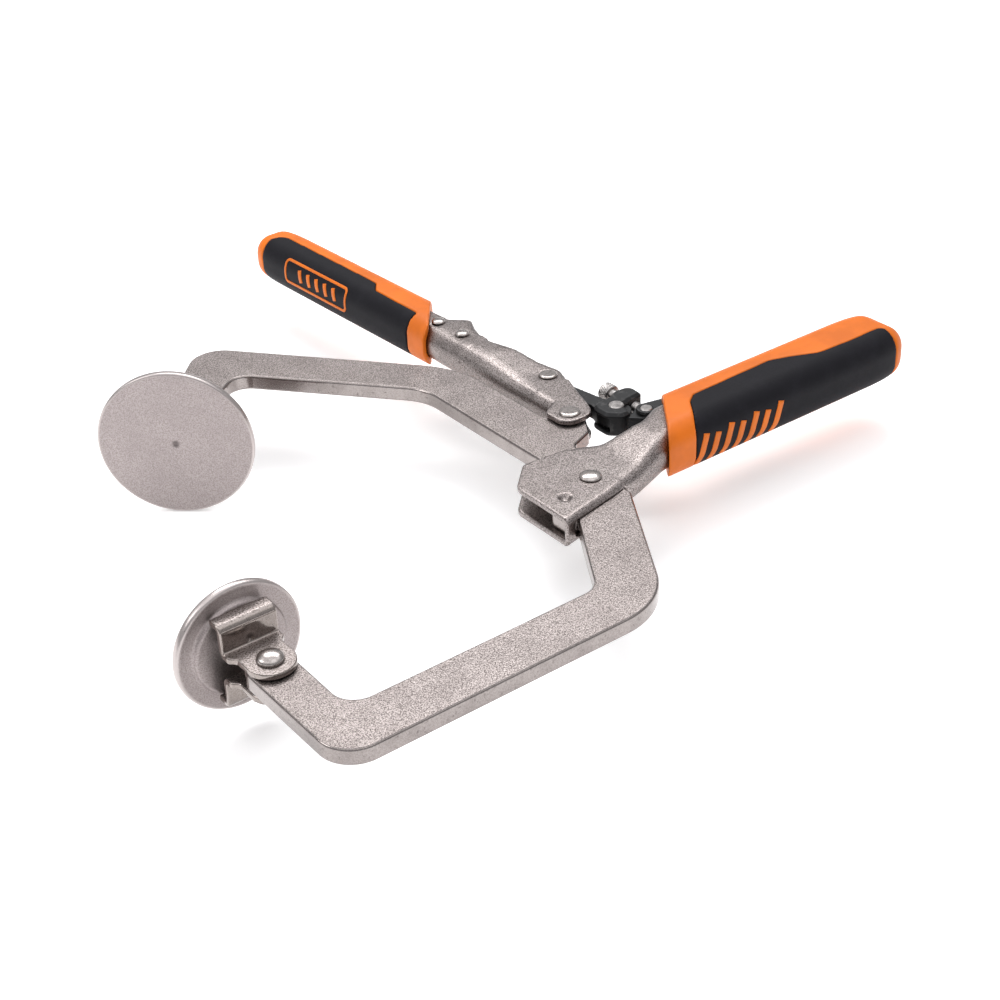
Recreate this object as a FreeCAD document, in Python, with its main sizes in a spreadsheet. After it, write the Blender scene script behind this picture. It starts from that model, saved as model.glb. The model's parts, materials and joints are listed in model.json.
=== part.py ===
import FreeCAD, Part
import math
import os
import Sketcher
from FreeCAD import Placement, Rotation, Vector

# Auto-adjusting locking face clamp. Frame: origin at the centre of the fixed pad's face,
# +Y out of that face towards the moving pad, +X back along the fixed arm to the handles,
# +Z along every pivot axis. The clamp lies flat: z = 0 is its mid-plane.

os.makedirs("parts", exist_ok=True)
doc = FreeCAD.newDocument("LockingFaceClamp")
sheet = doc.addObject("Spreadsheet::Sheet", "Dims")

dims = {
    "arm_thick": 6.5,
    "arm_edge": 1.1,
    "arm_end_rad": 8.5,
    "pivot_gap": 0.05,
    "plate": 2.3,
    "jaw_gap": 7.3,
    "front_width": 12.0,
    "rear_width": 16.0,
    "main_shaft": 7.0,
    "main_head": 8.4,
    "handle_shaft": 6.0,
    "handle_head": 8.6,
    "link_shaft": 5.0,
    "link_head": 7.4,
    "small_shaft": 3.6,
    "small_head": 5.8,
    "pad_shaft": 6.0,
    "pad_head": 9.4,
    "pad_reach": 23.4,
    "pad_plate": 3.2,
    "pad_step": 1.4,
    "large_pad": 62.0,
    "small_pad": 47.4,
    "bracket_width": 21.5,
    "bracket_ear": 8.6,
    "main_grip_thick": 23.5,
    "handle_grip_thick": 22.0,
    "main_grip_depth": 31.0,
    "handle_grip_depth": 23.5,
    "grip_skin": 1.8,
    "link_thick": 6.0,
    "block_thick": 10.4,
    "block_pin_dia": 6.1,
    "bar_width": 9.6,
    "bar_depth": 8.0,
    "bar_sheet": 1.7,
    "bar_pin_dia": 5.0,
    "roller_dia": 7.6,
    "screw_dia": 5.0,
    "knob_dia": 8.0,
    "knob_length": 5.0,
    "leaf_rivet_shaft": 2.4,
}
for row, (alias, value) in enumerate(dims.items(), start=1):
    sheet.set("A%d" % row, alias)
    sheet.set("B%d" % row, str(value))
    sheet.setAlias("B%d" % row, alias)
doc.recompute()


def dim(alias):
    return float(getattr(sheet, alias))


def plane(body, role):
    return [f for f in body.Origin.OriginFeatures if f.Role == role][0]


def newBody(label):
    body = doc.addObject("PartDesign::Body", label)
    body.Label = label
    return body


def newSketch(body, name, role="XY_Plane", lift=0.0):
    sketch = body.newObject("Sketcher::SketchObject", body.Name + name)
    sketch.AttachmentSupport = [(plane(body, role), "")]
    sketch.MapMode = "FlatFace"
    sketch.AttachmentOffset = Placement(Vector(0, 0, lift), Rotation())
    return sketch


def roundedEdges(corners):
    """Edges of a closed outline; each corner is (x, y) or (x, y, radius)."""
    count = len(corners)
    cuts = []
    for i, corner in enumerate(corners):
        here = Vector(corner[0], corner[1], 0)
        radius = corner[2] if len(corner) > 2 else 0.0
        toPrev = (Vector(*corners[i - 1][:2], 0) - here).normalize()
        toNext = (Vector(*corners[(i + 1) % count][:2], 0) - here).normalize()
        if radius == 0:
            cuts.append((here, None, here))
            continue
        half = toPrev.getAngle(toNext) / 2
        reach = radius / math.tan(half)
        centre = here + (toPrev + toNext).normalize() * (radius / math.sin(half))
        middle = centre + (here - centre).normalize() * radius
        cuts.append((here + toPrev * reach, middle, here + toNext * reach))
    edges = []
    for i, (start, middle, end) in enumerate(cuts):
        if middle is not None:
            edges.append(Part.Arc(start, middle, end))
        follow = cuts[(i + 1) % count][0]
        if (follow - end).Length > 1e-4:
            edges.append(Part.LineSegment(end, follow))
    return edges


def drawOutline(sketch, corners):
    sketch.addGeometry(roundedEdges(corners), False)


def drawCircle(sketch, x, y, alias, extra=""):
    """Circle whose diameter follows a cell of the sheet."""
    index = sketch.addGeometry(Part.Circle(Vector(x, y, 0), Vector(0, 0, 1), dim(alias) / 2), False)
    name = "dia%d" % index
    sketch.addConstraint(Sketcher.Constraint("Diameter", index, dim(alias)))
    sketch.renameConstraint(sketch.ConstraintCount - 1, name)
    sketch.setExpression("Constraints." + name, "Dims.%s%s" % (alias, extra))


def pad(body, sketch, expression, symmetric=True, back=False):
    feature = body.newObject("PartDesign::Pad", sketch.Name + "Pad")
    feature.Profile = sketch
    if symmetric:
        feature.SideType = "Symmetric"
    feature.Reversed = back
    feature.setExpression("Length", expression)
    return feature


def pocket(body, sketch, expression=None, symmetric=True, back=False):
    feature = body.newObject("PartDesign::Pocket", sketch.Name + "Cut")
    feature.Profile = sketch
    if symmetric:
        feature.SideType = "Symmetric"
    feature.Reversed = back
    if expression is None:
        feature.Type = "ThroughAll"
    else:
        feature.setExpression("Length", expression)
    return feature


def revolve(body, sketch, kind="PartDesign::Revolution"):
    feature = body.newObject(kind, sketch.Name + "Turn")
    feature.Profile = sketch
    feature.ReferenceAxis = (sketch, ["V_Axis"])
    feature.Angle = 360
    return feature


def trimOutside(body, name, corners, frame):
    """Cut away everything outside an outline seen along Z."""
    sketch = newSketch(body, name)
    drawOutline(sketch, frame)
    drawOutline(sketch, corners)
    return pocket(body, sketch)


def edgesWhere(feature, test):
    doc.recompute()
    names = []
    for i, edge in enumerate(feature.Shape.Edges, start=1):
        if test(edge):
            names.append("Edge%d" % i)
    return names


def dress(body, kind, feature, names, prop, expression):
    made = body.newObject("PartDesign::" + kind, body.Name + kind + str(len(body.Group)))
    made.Base = (feature, names)
    made.setExpression(prop, expression)
    return made


def rivet(label, x, y, shaft, head, seat, dome, flat=0.0):
    """Headed pin along Z, same head both ends. dome is the head height, flat its flat radius."""
    body = newBody(label)
    sketch = newSketch(body, "Profile", "XZ_Plane")
    rs = dim(shaft) / 2
    rh = dim(head) / 2
    top = seat + dome
    rim = seat + 0.25 * dome
    points = [Vector(0, -top, 0), Vector(0, top, 0)]
    parts = [Part.LineSegment(points[0], points[1])]
    for sign in (1, -1):
        start = Vector(flat, sign * top, 0)
        end = Vector(rh, sign * rim, 0)
        if flat > 0:
            parts.append(Part.LineSegment(Vector(0, sign * top, 0), start))
        mid = Vector(flat + 0.72 * (rh - flat), sign * (rim + 0.66 * (top - rim)), 0)
        parts.append(Part.Arc(start, mid, end))
        parts.append(Part.LineSegment(end, Vector(rh, sign * seat, 0)))
        parts.append(Part.LineSegment(Vector(rh, sign * seat, 0), Vector(rs, sign * seat, 0)))
    parts.append(Part.LineSegment(Vector(rs, seat, 0), Vector(rs, -seat, 0)))
    sketch.addGeometry(parts, False)
    revolve(body, sketch)
    body.Placement = Placement(Vector(x, y, 0), Rotation())
    return body


# ---- pivots (rest position, arms wide open) --------------------------------------------
pivotMain = Vector(149.7, -3.1, 0)
pivotHandle = Vector(175.0, 40.0, 0)
pivotLink = Vector(188.3, 70.1, 0)
pivotBlock = Vector(193.7, 34.0, 0)
pivotBar = Vector(201.3, 24.7, 0)
pivotFixedPad = Vector(0, -dim("pad_reach"), 0)
pivotMovingPad = Vector(64.9, 148.4, 0)
movingPadTurn = 139.5
farHeading = 39.5

# ---- fixed arm ------------------------------------------------------------------------
endRad = dim("arm_end_rad")
roundEnd = 0.97 * endRad
fixedTop = pivotFixedPad.y + endRad


def farCorner(n1, n2, radius=0.0):
    """Point given by its distances across and along the moving arm's far run."""
    c = math.cos(math.radians(farHeading))
    s = math.sin(math.radians(farHeading))
    return (n1 * c - n2 * s, n1 * s + n2 * c, radius)


body = newBody("fixed_arm")
sketch = newSketch(body, "Outline")
drawOutline(sketch, [
    (endRad, fixedTop, roundEnd), (-endRad, fixedTop, roundEnd), (-9.1, -77.6, 13),
    (120.7, -77.6, 30), (157.3, -17.0, 1.5), (157.3, -7.6), (126.8, -7.6, 2), (126.8, -17.6, 1),
    (131.2, -17.6, 0.5), (107.5, -56.4, 9), (7.6, -56.4, 8.5)])
base = pad(body, sketch, "Dims.arm_thick")
sketch = newSketch(body, "HubRoom")
sketch.addGeometry(Part.Circle(pivotMain, Vector(0, 0, 1), 11.2), False)
base = pocket(body, sketch)
rims = edgesWhere(base, lambda e: abs(abs(e.BoundBox.ZMax) - dim("arm_thick") / 2) < 1e-3
                  and e.BoundBox.ZLength < 1e-3 and (e.BoundBox.YMax < -16.9 or e.BoundBox.XMax < 60))
dress(body, "Fillet", base, rims, "Radius", "Dims.arm_edge")
sketch = newSketch(body, "PadBore")
drawCircle(sketch, pivotFixedPad.x, pivotFixedPad.y, "pad_shaft", " + 2 * Dims.pivot_gap")
pocket(body, sketch)

# ---- moving arm -----------------------------------------------------------------------
body = newBody("moving_arm")
sketch = newSketch(body, "Outline")
c = math.cos(math.radians(farHeading))
s = math.sin(math.radians(farHeading))
padAlong = pivotMovingPad.x * c + pivotMovingPad.y * s
padAcross = pivotMovingPad.y * c - pivotMovingPad.x * s
drawOutline(sketch, [
    (139.9, 4.0, 6), (146.3, 14.0, 8), (146.3, 98.1, 22), farCorner(175.3, padAcross - 9.0, 8),
    farCorner(padAlong - endRad, padAcross - endRad, roundEnd),
    farCorner(padAlong - endRad, padAcross + endRad, roundEnd),
    farCorner(197.0, 88.75, 13), (168.3, 104.0, 45), (168.3, 46.5, 2),
    (181.5, 46.5, 6.4), (181.5, 38.6, 3), (174.6, 27.5, 4), (163.5, 23.0, 4), (159.5, 6.0, 4),
    (159.5, -12.9, 9.75), (139.9, -12.9, 9.75)])
base = pad(body, sketch, "Dims.arm_thick")
rims = edgesWhere(base, lambda e: abs(abs(e.BoundBox.ZMax) - dim("arm_thick") / 2) < 1e-3
                  and e.BoundBox.ZLength < 1e-3 and e.BoundBox.YMin > 13.0
                  and not (e.BoundBox.XMin > 160 and e.BoundBox.YMax < 60))
dress(body, "Fillet", base, rims, "Radius", "Dims.arm_edge")
for name, at, shaft in (("HubBore", pivotMain, "main_shaft"), ("EarBore", pivotHandle, "handle_shaft"),
                        ("PadBore", pivotMovingPad, "pad_shaft")):
    sketch = newSketch(body, name)
    drawCircle(sketch, at.x, at.y, shaft, " + 2 * Dims.pivot_gap")
    pocket(body, sketch)

# ---- folded handles -------------------------------------------------------------------


def channelSection(web, rim, width, corner):
    """Closed U outline in (across, z); the web is at one side, open at the other."""
    t = dim("plate")
    side = 1 if rim > web else -1
    zo = width / 2
    zi = zo - t
    inner = max(corner - t, 0.6)
    return [(rim, -zo), (web, -zo, corner), (web, zo, corner), (rim, zo), (rim, zi),
            (web + side * t, zi, inner), (web + side * t, -zi, inner), (rim, -zi)]


def roomSection(web, rim, width, corner):
    """The space a U section takes up, filled in and 0.05 mm larger all round."""
    side = 1 if rim > web else -1
    free = 0.05
    zo = width / 2 + free
    return [(rim + 2 * side * free, -zo), (web - side * free, -zo, corner + free),
            (web - side * free, zo, corner + free), (rim + 2 * side * free, zo)]


def channel(label, stations, section=channelSection):
    """Loft of sections; each station is (along, web, rim, width, outside corner radius)."""
    body = newBody(label)
    sketches = []
    for i, (along, web, rim, width, corner) in enumerate(stations):
        sketch = newSketch(body, "Station%d" % i, "YZ_Plane", along)
        drawOutline(sketch, section(web, rim, width, corner))
        sketches.append(sketch)
    loft = body.newObject("PartDesign::AdditiveLoft", label + "Loft")
    loft.Profile = sketches[0]
    loft.Sections = sketches[1:]
    loft.Ruled = True
    return body


front = dim("front_width")
rear = dim("rear_width")
mainStations = [
    (123.9, -21.3, 22.0, front, 2.6), (150.0, -16.2, 19.5, front, 3.4),
    (168.0, -11.8, 17.0, front, 5.2), (186.0, -4.6, 18.0, rear, 7.2),
    (206.0, -2.0, 20.0, rear, 7.6), (316.0, -1.0, 20.0, rear, 7.6)]
body = channel("main_channel", mainStations)
trimOutside(body, "Side", [
    (124.1, -30.0), (320, -30.0), (320, 30.0), (214, 30.0), (209, 19.6, 6), (200.5, 19.8, 5),
    (190.0, 14.8, 8), (168.5, 13.6, 5), (160.0, 18.4, 6), (136.5, 20.4, 4), (124.6, 9.0, 5)],
    [(100, -60), (340, -60), (340, 60), (100, 60)])
sketch = newSketch(body, "ArmSlot", "XZ_Plane")
drawOutline(sketch, [(128.6, -3.3), (157.6, -3.3), (157.6, 3.3), (128.6, 3.3)])
pocket(body, sketch)
sketch = newSketch(body, "PivotBore")
drawCircle(sketch, pivotMain.x, pivotMain.y, "main_shaft")
pocket(body, sketch)
for name, lift, flip in (("DimpleTop", front / 2, False), ("DimpleUnder", -front / 2, True)):
    sketch = newSketch(body, name, "XY_Plane", lift)
    sketch.addGeometry(Part.Circle(Vector(133.7, -7.9, 0), Vector(0, 0, 1), 2.2), False)
    cut = body.newObject("PartDesign::Pocket", name + "Cut")
    cut.Profile = sketch
    cut.Length = 0.9
    cut.TaperAngle = -40
    cut.Reversed = flip

rivet("main_pivot_rivet", pivotMain.x, pivotMain.y, "main_shaft", "main_head", front / 2, 1.7)

# The moving handle is drawn along local X from its pivot, then turned upright.
handleTurn = Placement(pivotHandle, Rotation(Vector(0, 0, 1), 90))
handleStations = [
    (5.0, 1.8, -24.0, front, 4.0), (34.0, 1.8, -24.0, front, 5.4),
    (58.0, 2.2, -24.0, rear, 7.2), (86.0, 3.0, -24.0, rear, 7.6), (112.0, 2.1, -24.0, rear, 7.6),
    (216.0, 6.4, -14.0, rear, 7.6)]
body = channel("handle_channel", handleStations)
trimOutside(body, "Side", [
    (7.2, 12.0), (220, 12.0), (220, -6.0), (100.0, -11.0, 3), (97.5, -11.6, 2), (89.8, -19.6, 2.5),
    (82.0, -15.6, 3), (71.0, -12.4, 8), (54.4, -17.0, 12), (41.5, -18.0, 8), (31.5, -21.0, 5),
    (8.4, -12.4, 3), (7.2, -4.0)],
    [(-20, -60), (240, -60), (240, 60), (-20, 60)])
sketch = newSketch(body, "Tip")
drawOutline(sketch, [(6.6, 7.0, 3), (-6.3, 7.0, 6.2), (-6.3, -7.0, 6.6), (2.0, -10.4, 8),
                     (9.0, -12.6), (11.5, -4.0), (9.5, 1.7, 2)])
pad(body, sketch, "Dims.front_width")
sketch = newSketch(body, "TipGap")
drawOutline(sketch, [(-10, 10), (7.4, 10), (7.4, -0.5, 0.6), (16, -0.5), (16, -20), (-10, -20)])
pocket(body, sketch, "Dims.front_width - 2 * Dims.plate")
for name, x, y, shaft in (("PivotBore", 0, 0, "handle_shaft"), ("LinkBore", 30.1, -13.3, "link_shaft"),
                          ("NearBore", 80.3, -7.2, "small_shaft"), ("FarBore", 96.4, -6.4, "small_shaft")):
    sketch = newSketch(body, name)
    drawCircle(sketch, x, y, shaft)
    pocket(body, sketch)
body.Placement = handleTurn

rivet("handle_pivot_rivet", pivotHandle.x, pivotHandle.y, "handle_shaft", "handle_head", front / 2, 1.0, 2.9)
rivet("link_rivet", pivotLink.x, pivotLink.y, "link_shaft", "link_head", front / 2, 0.8, 2.8)

# ---- lock gear -------------------------------------------------------------------------
linkDrop = pivotBlock - pivotLink
linkLength = linkDrop.Length
linkHeading = math.degrees(math.atan2(linkDrop.y, linkDrop.x))
body = newBody("toggle_link")
sketch = newSketch(body, "Outline")
far = linkLength
drawOutline(sketch, [
    (-6.0, 6.0, 5.9), (4.5, 6.0, 4), (9.5, 3.6, 5), (far - 9.5, 3.6, 5), (far - 4.5, 6.0, 4),
    (far + 6.0, 6.0, 5.9), (far + 6.0, -6.0, 5.9), (far - 4.5, -6.0, 4), (far - 9.5, -3.6, 5),
    (9.5, -3.6, 5), (4.5, -6.0, 4), (-6.0, -6.0, 5.9)])
pad(body, sketch, "Dims.link_thick")
sketch = newSketch(body, "HandleBore")
drawCircle(sketch, 0, 0, "link_shaft", " + 2 * Dims.pivot_gap")
pocket(body, sketch)
sketch = newSketch(body, "BlockBore")
drawCircle(sketch, linkLength, 0, "block_pin_dia", " + 2 * Dims.pivot_gap")
pocket(body, sketch)
body.Placement = Placement(pivotLink, Rotation(Vector(0, 0, 1), linkHeading))

screwX = 204.0
body = newBody("lock_block")
sketch = newSketch(body, "Outline")
drawOutline(sketch, [
    (185.6, 41.0, 5), (185.6, 30.6, 4), (190.2, 26.0, 3), (194.6, 26.0, 2), (196.4, 33.0, 3),
    (200.2, 34.2, 1), (208.2, 35.2, 1.5), (208.6, 43.4, 4), (200.2, 43.8, 3.5), (197.0, 41.5, 4)])
base = pad(body, sketch, "Dims.block_thick")
rims = edgesWhere(base, lambda e: abs(abs(e.BoundBox.ZMax) - dim("block_thick") / 2) < 1e-3
                  and e.BoundBox.ZLength < 1e-3)
dress(body, "Chamfer", base, rims, "Size", "0.12 * Dims.block_thick")
sketch = newSketch(body, "Leg")
drawOutline(sketch, [(191.5, 27.2, 1), (197.6, 20.8, 3.5), (205.0, 21.2, 3.6), (205.0, 28.2, 3.4),
                     (199.8, 28.4, 1), (197.2, 33.6, 1), (193.0, 32.0)])
pad(body, sketch, "Dims.link_thick")
sketch = newSketch(body, "LinkSlot")
drawOutline(sketch, [(176.0, 29.6), (188.0, 29.6, 1), (189.0, 27.4, 1), (200.4, 27.4, 5.6),
                     (200.4, 42.5, 1), (197.2, 46.0), (197.2, 50.0), (176.0, 50.0)])
pocket(body, sketch, "Dims.link_thick + 0.3")
sketch = newSketch(body, "PinBore")
drawCircle(sketch, pivotBlock.x, pivotBlock.y, "block_pin_dia")
pocket(body, sketch)
sketch = newSketch(body, "BarPinBore")
drawCircle(sketch, pivotBar.x, pivotBar.y, "bar_pin_dia")
pocket(body, sketch)
sketch = newSketch(body, "ScrewBore", "XZ_Plane", -50)
drawCircle(sketch, screwX, 0, "screw_dia", " + 2 * Dims.pivot_gap")
pocket(body, sketch, "17", symmetric=False, back=True)

body = newBody("block_pin")
sketch = newSketch(body, "Round")
drawCircle(sketch, 0, 0, "block_pin_dia")
base = pad(body, sketch, "Dims.block_thick + 0.4")
dress(body, "Chamfer", base, edgesWhere(base, lambda e: e.BoundBox.ZLength < 1e-3), "Size", "0.3")
body.Placement = Placement(pivotBlock, Rotation())

barHeading = -12.8
barLength = 72.0
leafAt = 26.0
body = newBody("lock_bar")
sketch = newSketch(body, "Side")
drawOutline(sketch, [(-4.0, 4.0, 3.9), (-4.0, -4.0, 3.9), (barLength + 4.0, -4.0, 3.9),
                     (barLength + 4.0, 4.0, 3.9)])
pad(body, sketch, "Dims.bar_width")
sketch = newSketch(body, "Fold")
drawOutline(sketch, [(-8.0, 2.2), (-8.0, -9.0), (barLength + 9.0, -9.0), (barLength + 9.0, 2.2)])
pocket(body, sketch, "Dims.bar_width - 2 * Dims.bar_sheet")
sketch = newSketch(body, "NoseGap")
drawOutline(sketch, [(-8.0, 9.0), (-8.0, -9.0), (5.0, -9.0), (5.0, 1.0, 1), (1.4, 9.0)])
pocket(body, sketch, "Dims.bar_width - 2 * Dims.bar_sheet")
sketch = newSketch(body, "TailGap")
drawOutline(sketch, [(barLength - 5.5, 9.0), (barLength - 5.5, -9.0), (barLength + 9.0, -9.0),
                     (barLength + 9.0, 9.0)])
pocket(body, sketch, "Dims.bar_width - 2 * Dims.bar_sheet")
sketch = newSketch(body, "Bores")
drawCircle(sketch, 0, 0, "bar_pin_dia")
drawCircle(sketch, barLength, 0, "small_shaft")
pocket(body, sketch)
sketch = newSketch(body, "LeafBore", "XZ_Plane")
drawCircle(sketch, leafAt, 0, "leaf_rivet_shaft")
pocket(body, sketch)
barPlace = Placement(pivotBar, Rotation(Vector(0, 0, 1), barHeading))
body.Placement = barPlace

body = newBody("bar_pin")
sketch = newSketch(body, "Round")
drawCircle(sketch, 0, 0, "bar_pin_dia")
base = pad(body, sketch, "Dims.bar_width + 0.3")
dress(body, "Chamfer", base, edgesWhere(base, lambda e: e.BoundBox.ZLength < 1e-3), "Size", "0.3")
body.Placement = barPlace

barEnd = barPlace.multVec(Vector(barLength, 0, 0))
body = newBody("bar_roller_pin")
sketch = newSketch(body, "Round")
drawCircle(sketch, 0, 0, "small_shaft")
pad(body, sketch, "Dims.bar_width + 0.2")
body.Placement = Placement(barEnd, Rotation())

body = newBody("bar_roller")
sketch = newSketch(body, "Ring")
drawCircle(sketch, 0, 0, "roller_dia")
drawCircle(sketch, 0, 0, "small_shaft")
pad(body, sketch, "Dims.bar_width - 2 * Dims.bar_sheet - 0.4")
body.Placement = Placement(barEnd, Rotation())

body = newBody("bar_leaf_spring")
sketch = newSketch(body, "Strip")
drawOutline(sketch, [(20.0, 2.2), (32.0, 2.2, 3), (58.0, -2.6, 3), (64.0, -2.0), (64.0, -2.7),
                     (58.0, -3.3, 3), (31.8, 1.5, 3), (20.0, 1.5)])
pad(body, sketch, "Dims.bar_width - 2 * Dims.bar_sheet - 1.2")
sketch = newSketch(body, "RivetBore", "XZ_Plane")
drawCircle(sketch, leafAt, 0, "leaf_rivet_shaft")
pocket(body, sketch)
body.Placement = barPlace

body = newBody("leaf_rivet")
sketch = newSketch(body, "Profile")
rs = dim("leaf_rivet_shaft") / 2
profile = [(0, 0.8), (1.9, 0.8), (1.9, 1.5), (rs, 1.5), (rs, 4.0), (2.1, 4.0), (1.5, 4.7), (0, 4.7)]
sketch.addGeometry([Part.LineSegment(Vector(*a, 0), Vector(*b, 0))
                    for a, b in zip(profile, profile[1:] + profile[:1])], False)
revolve(body, sketch)
body.Placement = barPlace.multiply(Placement(Vector(leafAt, 0, 0), Rotation()))

body = newBody("pressure_screw")
sketch = newSketch(body, "Profile")
rs = dim("screw_dia") / 2
sketch.addGeometry([
    Part.LineSegment(Vector(0, 30.6, 0), Vector(0, 48.2, 0)),
    Part.LineSegment(Vector(0, 48.2, 0), Vector(rs, 48.2, 0)),
    Part.LineSegment(Vector(rs, 48.2, 0), Vector(rs, 31.4, 0)),
    Part.LineSegment(Vector(rs, 31.4, 0), Vector(rs - 0.8, 30.6, 0)),
    Part.LineSegment(Vector(rs - 0.8, 30.6, 0), Vector(0, 30.6, 0))], False)
revolve(body, sketch)
body.Placement = Placement(Vector(screwX, 0, 0), Rotation())

body = newBody("screw_knob")
sketch = newSketch(body, "Round", "XZ_Plane", -48.2)
drawCircle(sketch, 0, 0, "knob_dia")
base = pad(body, sketch, "Dims.knob_length", symmetric=False, back=True)
dress(body, "Chamfer", base, edgesWhere(base, lambda e: e.BoundBox.YLength < 1e-3), "Size", "0.8")
body.Placement = Placement(Vector(screwX, 0, 0), Rotation())

body = newBody("screw_foot")
sketch = newSketch(body, "Profile")
sketch.addGeometry([
    Part.LineSegment(Vector(0, 29.5, 0), Vector(0, 30.6, 0)),
    Part.LineSegment(Vector(0, 30.6, 0), Vector(2.6, 30.6, 0)),
    Part.LineSegment(Vector(2.6, 30.6, 0), Vector(2.6, 29.9, 0)),
    Part.LineSegment(Vector(2.6, 29.9, 0), Vector(2.2, 29.5, 0)),
    Part.LineSegment(Vector(2.2, 29.5, 0), Vector(0, 29.5, 0))], False)
revolve(body, sketch)
body.Placement = Placement(Vector(screwX, 0, 0), Rotation())

# ---- swivel pads -----------------------------------------------------------------------


def padSet(prefix, diameter, step, place):
    """Disc, two joggled brackets and a rivet around a pivot at the local origin, facing +Y."""
    face = dim("pad_reach")
    back = face - dim("pad_plate")
    rad = dim(diameter) / 2
    disc = newBody(prefix + "_pad_disc")
    sketch = newSketch(disc, "Profile")
    shelf = back - dim("pad_step")
    lines = [(0, face), (rad - 0.9, face), (rad, face - 0.9), (rad, back + 0.7), (rad - 0.7, back),
             (step, back), (step - 1.2, shelf), (0, shelf)]
    sketch.addGeometry([Part.LineSegment(Vector(*a, 0), Vector(*b, 0))
                        for a, b in zip(lines, lines[1:] + lines[:1])], False)
    revolve(disc, sketch)
    disc.Placement = place
    t = dim("plate")
    for side, sign in (("upper", 1), ("lower", -1)):
        bracket = newBody("%s_%s_bracket" % (prefix, side))
        sketch = newSketch(bracket, "Fold", "YZ_Plane")
        low = dim("front_width") / 2 - t
        high = low + 10.2
        web = 12.0
        drawOutline(sketch, [(-web, sign * low), (web + t, sign * low, 2.8), (web + t, sign * high, 0.6),
                             (shelf, sign * high), (shelf, sign * (high + t)),
                             (web, sign * (high + t), 2.9), (web, sign * (low + t), 0.5),
                             (-web, sign * (low + t))])
        pad(bracket, sketch, "Dims.bracket_width")
        ear = dim("bracket_ear")
        wide = dim("bracket_width") / 2
        trimOutside(bracket, "Ear", [(-ear, -ear, ear), (ear, -ear, ear), (ear, 7.0, 2),
                                     (wide, 9.0, 2), (wide + 1, 30), (-wide - 1, 30), (-wide, 9.0, 2),
                                     (-ear, 7.0, 2)],
                    [(-40, -40), (40, -40), (40, 40), (-40, 40)])
        sketch = newSketch(bracket, "Bore")
        drawCircle(sketch, 0, 0, "pad_shaft")
        pocket(bracket, sketch)
        bracket.Placement = place
    pin = rivet(prefix + "_pad_rivet", 0, 0, "pad_shaft", "pad_head", dim("front_width") / 2, 2.8)
    pin.Placement = place


padSet("fixed", "small_pad", 17.5, Placement(pivotFixedPad, Rotation()))
padSet("moving", "large_pad", 24.0, Placement(pivotMovingPad, Rotation(Vector(0, 0, 1), movingPadTurn)))

# ---- grips -----------------------------------------------------------------------------


def barBlank(prefix, name, start, length, low, high, inset):
    """Rounded bar along X for a grip: low and high are its sides, inset shrinks it."""
    body = newBody(prefix + name)
    sketch = newSketch(body, "Section", "YZ_Plane", start)
    half = dim(prefix + "_grip_thick") / 2 - inset
    corner = 9.2 - inset
    drawOutline(sketch, [(low + inset, -half, corner), (high - inset, -half, corner),
                         (high - inset, half, corner), (low + inset, half, corner)])
    base = pad(body, sketch, str(length - inset), symmetric=False)
    tail = edgesWhere(base, lambda e: e.BoundBox.XLength < 1e-3 and e.BoundBox.XMin > start + 1)
    dress(body, "Fillet", base, tail, "Radius", str(8.6 - inset))
    return body


def boolean(kind, name, a, b):
    made = doc.addObject("Part::" + kind, name)
    made.Base = a
    made.Tool = b
    doc.recompute()
    return made


def grip(prefix, start, length, low, high, frontCut, panelSide, room, place):
    """Two-colour grip along X: hard core with a soft panel let into it, hollowed by room."""
    outer = barBlank(prefix, "Outer", start, length, low, high, 0.0)
    sketch = newSketch(outer, "Front")
    drawOutline(sketch, frontCut)
    pocket(outer, sketch)
    inner = barBlank(prefix, "Inner", start, length, low, high, dim("grip_skin"))
    side = newBody(prefix + "Side")
    sketch = newSketch(side, "Region")
    drawOutline(sketch, panelSide)
    pad(side, sketch, "3 * Dims.main_grip_thick")
    skin = boolean("Cut", prefix + "Skin", outer, inner)
    blank = boolean("Common", prefix + "Blank", skin, side)
    bare = boolean("Cut", prefix + "Bare", outer, blank)
    for name, source in (("_grip_core", bare), ("_grip_panel", blank)):
        made = boolean("Cut", prefix + name, source, room)
        made.Label = prefix + name
        made.Placement = place


endGap = 0.2
room = channel("mainRoom", mainStations[2:-1] + [(316.0 + endGap, -1.0, 20.0, rear, 7.6)], roomSection)
sketch = newSketch(room, "Mouth")
drawOutline(sketch, [(165, 19.0), (272, 19.0, 3), (272, 40), (165, 40)])
pad(room, sketch, "Dims.front_width + 1")
mainLow = 9.7 - dim("main_grip_depth") / 2
mainHigh = 9.7 + dim("main_grip_depth") / 2
grip(
    "main", 172.0, 149.5, mainLow, mainHigh,
    [(160, mainLow - 5), (182.3, mainLow - 5), (213.0, mainHigh + 5), (160, mainHigh + 5)],
    [(197.5, mainLow - 5), (201.5, -3.0, 3), (209.2, 8.2, 8), (213.9, 11.6, 2), (256.0, 12.8, 6),
     (264.7, 9.7, 4), (275.8, 4.5, 8), (292.8, 3.7, 6), (312.0, 4.1, 3), (312.0, mainLow - 5)],
    room, Placement())

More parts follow.
